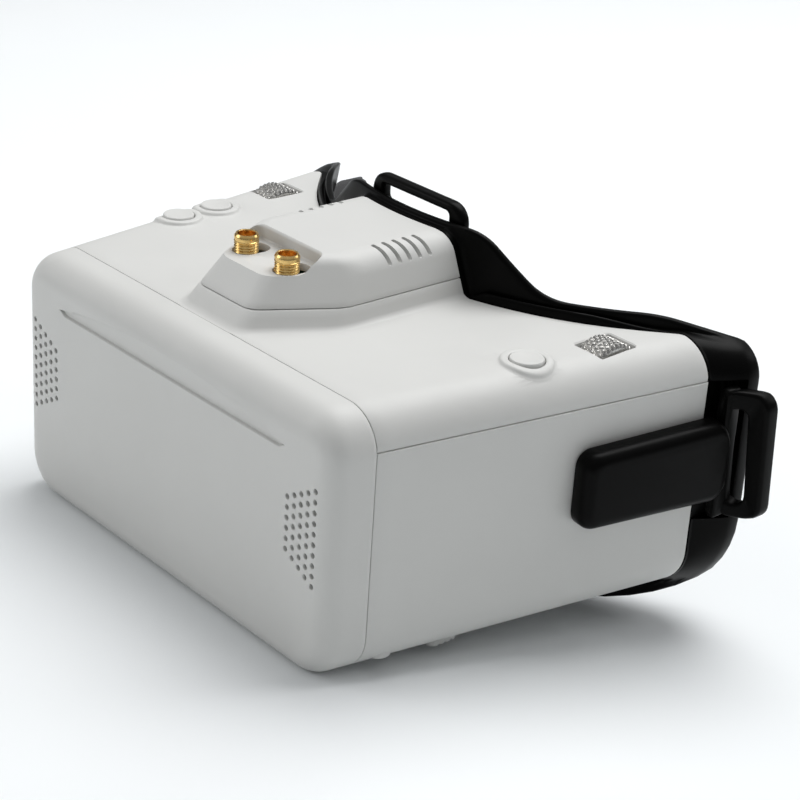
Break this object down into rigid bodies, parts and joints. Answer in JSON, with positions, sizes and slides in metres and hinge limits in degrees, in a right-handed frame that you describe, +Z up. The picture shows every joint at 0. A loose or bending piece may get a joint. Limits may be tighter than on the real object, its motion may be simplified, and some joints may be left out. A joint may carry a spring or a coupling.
{
  "type": "fpv goggles",
  "caption": "Box-type video goggles: flared light housing, black face frame with foam, strap arms, antenna jacks in a top hump, thumb wheels, buttons, focus slide and fans.",
  "frame": {"origin": "bottom centre of the whole: half way across and half way front to back, at the level of the face frame's lower edge", "axes": "+X towards the wearer's left, -Y out of the front face, +Z up"},
  "size_m": [0.191, 0.1308, 0.1009],
  "materials": {
    "light_shell": "fine matte moulded texture",
    "black_plastic": "satin moulded plastic",
    "gold_plate": "gold-plated brass",
    "steel": "plain steel",
    "wheel_metal": "knurled bright metal",
    "circuit_board": "solder resist",
    "face_foam": "soft fabric-faced foam",
    "clear_lens": "clear lens",
    "display_glass": "dark display glass",
    "insulator": "amber insulator"
  },
  "bodies": {
    "housing": {"front_cover": "light_shell", "top_shell": "light_shell", "bottom_shell": "light_shell", "module_cover": "light_shell", "face_frame": "black_plastic", "face_foam": "face_foam", "eyebox": "black_plastic", "main_lens": "clear_lens", "light_hood": "black_plastic", "main_board": "circuit_board", "receiver_module": "circuit_board", "sma_connector_left": "gold_plate", "sma_connector_right": "gold_plate", "sma_insulators": "insulator", "sma_contacts": "gold_plate", "top_strap_loop": "black_plastic", "loop_screws": "steel", "strap_arm_left": "black_plastic", "strap_arm_right": "black_plastic", "arm_screws": "steel", "switch_board_left": "circuit_board", "switch_board_right": "circuit_board", "fan_frame_left": "black_plastic", "fan_frame_right": "black_plastic", "dc_jack": "black_plastic", "av_jack": "black_plastic", "hdmi_socket": "steel", "card_socket": "steel", "housing_screws": "steel", "frame_screws": "steel"},
    "button_left": {"button_left": "light_shell"},
    "button_right_front": {"button_right_front": "light_shell"},
    "button_right_rear": {"button_right_rear": "light_shell"},
    "wheel_carrier_left": {"wheel_carrier_left": "black_plastic", "wheel_axle_left": "steel"},
    "wheel_carrier_right": {"wheel_carrier_right": "black_plastic", "wheel_axle_right": "steel"},
    "wheel_left": {"wheel_left": "wheel_metal"},
    "wheel_right": {"wheel_right": "wheel_metal"},
    "focus_slide": {"lcd_tray": "black_plastic", "lcd_panel": "display_glass", "focus_knob_left": "light_shell", "focus_knob_right": "light_shell"},
    "fan_rotor_left": {"fan_rotor_left": "black_plastic"},
    "fan_rotor_right": {"fan_rotor_right": "black_plastic"}
  },
  "joints": [
    {"name": "button_left_press", "type": "slide", "parent": "housing", "child": "button_left", "axis": [0, 0, -1], "range_m": [0, 0.0008], "stiffness_N_per_m": 600, "springref_m": -0.0008},
    {"name": "button_right_front_press", "type": "slide", "parent": "housing", "child": "button_right_front", "axis": [0, 0, -1], "range_m": [0, 0.0008], "stiffness_N_per_m": 600, "springref_m": -0.0008},
    {"name": "button_right_rear_press", "type": "slide", "parent": "housing", "child": "button_right_rear", "axis": [0, 0, -1], "range_m": [0, 0.0008], "stiffness_N_per_m": 600, "springref_m": -0.0008},
    {"name": "wheel_left_press", "type": "slide", "parent": "housing", "child": "wheel_carrier_left", "axis": [0, 0, -1], "range_m": [0, 0.0006], "stiffness_N_per_m": 900, "springref_m": -0.0008},
    {"name": "wheel_left_roll", "type": "hinge", "parent": "wheel_carrier_left", "child": "wheel_left", "pos_m": [0.0659, 0.0187, 0.0721], "axis": [1, 0, 0], "continuous": true},
    {"name": "wheel_right_press", "type": "slide", "parent": "housing", "child": "wheel_carrier_right", "axis": [0, 0, -1], "range_m": [0, 0.0006], "stiffness_N_per_m": 900, "springref_m": -0.0008},
    {"name": "wheel_right_roll", "type": "hinge", "parent": "wheel_carrier_right", "child": "wheel_right", "pos_m": [-0.0659, 0.0187, 0.0721], "axis": [1, 0, 0], "continuous": true},
    {"name": "focus_slide", "type": "slide", "parent": "housing", "child": "focus_slide", "axis": [0, 1, 0], "range_m": [-0.004, 0.004]},
    {"name": "fan_left_spin", "type": "hinge", "parent": "housing", "child": "fan_rotor_left", "pos_m": [0.052, -0.0583, 0.04835], "axis": [0, 1, 0], "continuous": true},
    {"name": "fan_right_spin", "type": "hinge", "parent": "housing", "child": "fan_rotor_right", "pos_m": [-0.052, -0.0583, 0.04835], "axis": [0, 1, 0], "continuous": true}
  ]
}
